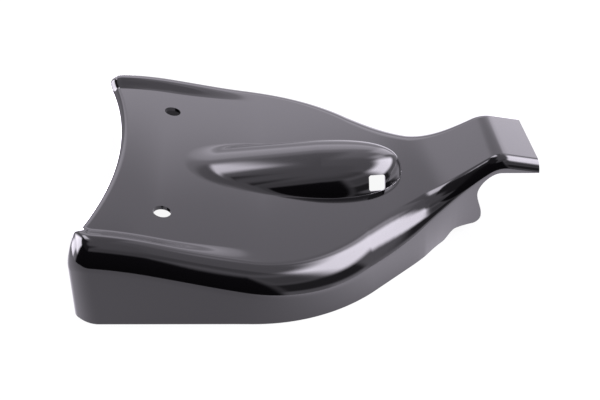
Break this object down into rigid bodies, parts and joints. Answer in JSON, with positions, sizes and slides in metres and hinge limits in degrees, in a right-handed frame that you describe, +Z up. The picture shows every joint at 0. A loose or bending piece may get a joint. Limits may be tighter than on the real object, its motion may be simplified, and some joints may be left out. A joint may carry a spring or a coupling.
{
  "type": "frame cover",
  "caption": "Thin moulded shell with a wide dished top, raised side ridges, a long bulge, turned-down side walls and a narrow open neck.",
  "frame": {"origin": "centre of the bounding box in plan, on the plane of the foot of the side walls", "axes": "+X from the wide end toward the neck, +Y across, +Z up from the foot to the top"},
  "size_m": [0.2726, 0.2082, 0.0504],
  "materials": {
    "cover": "high gloss"
  },
  "bodies": {
    "root": {"frame_cover": "cover"}
  },
  "joints": []
}
